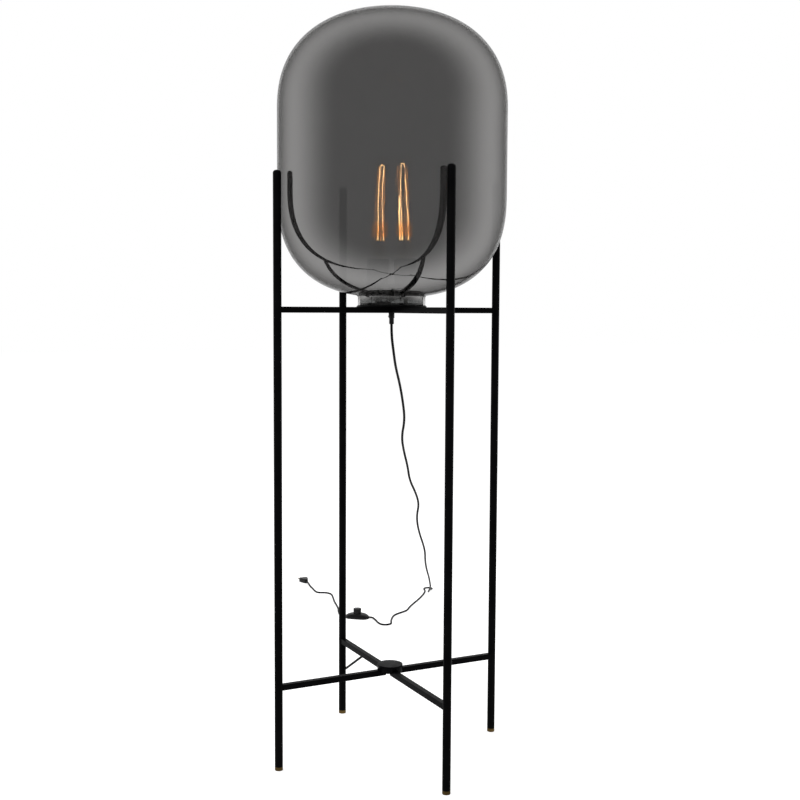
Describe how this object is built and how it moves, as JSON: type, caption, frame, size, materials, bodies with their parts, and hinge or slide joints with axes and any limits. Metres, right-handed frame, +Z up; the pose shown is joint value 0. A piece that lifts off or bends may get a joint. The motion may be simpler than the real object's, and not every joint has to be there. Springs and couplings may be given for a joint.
{
  "type": "globe floor lamp",
  "caption": "Floor lamp: a large smoked glass globe with tubular filament bulbs, held between upright tube legs on flat crosses, with a cord, foot switch and plug.",
  "frame": {"origin": "on the floor, under the middle of the leg square", "axes": "+Z up; the legs stand on the X and Y axes, the one with the rear brace at +Y"},
  "size_m": [0.9165, 1.6216, 1.4],
  "materials": {
    "black_frame": "satin",
    "brass_foot": "satin",
    "smoke_glass": "mirror smoke",
    "black_rubber": "matt",
    "zinc_steel": "zinc plated",
    "insulator": "matt",
    "grey_housing": "satin",
    "nickel_brass": "plated",
    "clear_glass": "clear",
    "black_glass": "gloss",
    "filament": "glowing",
    "support_wire": "drawn",
    "cord_sheath": "satin",
    "black_plastic": "satin"
  },
  "bodies": {
    "root": {"back_brace": "black_frame", "bridge_screws": "zinc_steel", "cluster_bridge": "zinc_steel", "cluster_spacer": "zinc_steel", "cord_grip": "black_plastic", "cord_hang": "cord_sheath", "cord_in_grip": "cord_sheath", "cord_tail": "cord_sheath", "feet": "brass_foot", "grip_screw": "zinc_steel", "holder_1_housing": "grey_housing", "holder_2_housing": "grey_housing", "holder_contacts": "nickel_brass", "holder_cores": "insulator", "holder_sockets": "nickel_brass", "holder_strip": "zinc_steel", "inner_wires": "cord_sheath", "leg_back": "black_frame", "leg_front": "black_frame", "leg_left": "black_frame", "leg_right": "black_frame", "lower_arm_back": "black_frame", "lower_arm_front": "black_frame", "lower_arm_left": "black_frame", "lower_arm_right": "black_frame", "lower_hub": "black_frame", "neck_gasket": "black_rubber", "nipple_nuts": "zinc_steel", "nipples": "zinc_steel", "plug_body": "black_plastic", "plug_pins": "nickel_brass", "switch_base": "black_plastic", "switch_bushes": "black_plastic", "switch_cord_ends": "cord_sheath", "switch_cover": "black_plastic", "switch_module": "insulator", "switch_screws": "zinc_steel", "terminal_block": "insulator", "top_plate": "black_frame", "upper_arm_back": "black_frame", "upper_arm_front": "black_frame", "upper_arm_left": "black_frame", "upper_arm_right": "black_frame"},
    "globe": {"globe_glass": "smoke_glass"},
    "bulb_1": {"bulb_1_cap": "nickel_brass", "bulb_1_contact": "nickel_brass", "bulb_1_filament": "filament", "bulb_1_glass": "clear_glass", "bulb_1_insulator": "black_glass", "bulb_1_mount": "clear_glass", "bulb_1_supports": "support_wire"},
    "bulb_2": {"bulb_2_cap": "nickel_brass", "bulb_2_contact": "nickel_brass", "bulb_2_filament": "filament", "bulb_2_glass": "clear_glass", "bulb_2_insulator": "black_glass", "bulb_2_mount": "clear_glass", "bulb_2_supports": "support_wire"},
    "switch_button": {"switch_button": "black_plastic"}
  },
  "joints": [
    {"name": "globe_lift", "type": "slide", "parent": "root", "child": "globe", "axis": [0, 0, 1], "range_m": [0, 0.3]},
    {"name": "bulb_1_unscrew", "type": "slide", "parent": "root", "child": "bulb_1", "axis": [0.0247, -0.0247, 0.9994], "range_m": [0, 0.045]},
    {"name": "bulb_2_unscrew", "type": "slide", "parent": "root", "child": "bulb_2", "axis": [-0.0247, 0.0247, 0.9994], "range_m": [0, 0.045]},
    {"name": "switch_press", "type": "slide", "parent": "root", "child": "switch_button", "axis": [0, 0, -1], "range_m": [0, 0.003], "stiffness_N_per_m": 300, "springref_m": -0.003}
  ]
}
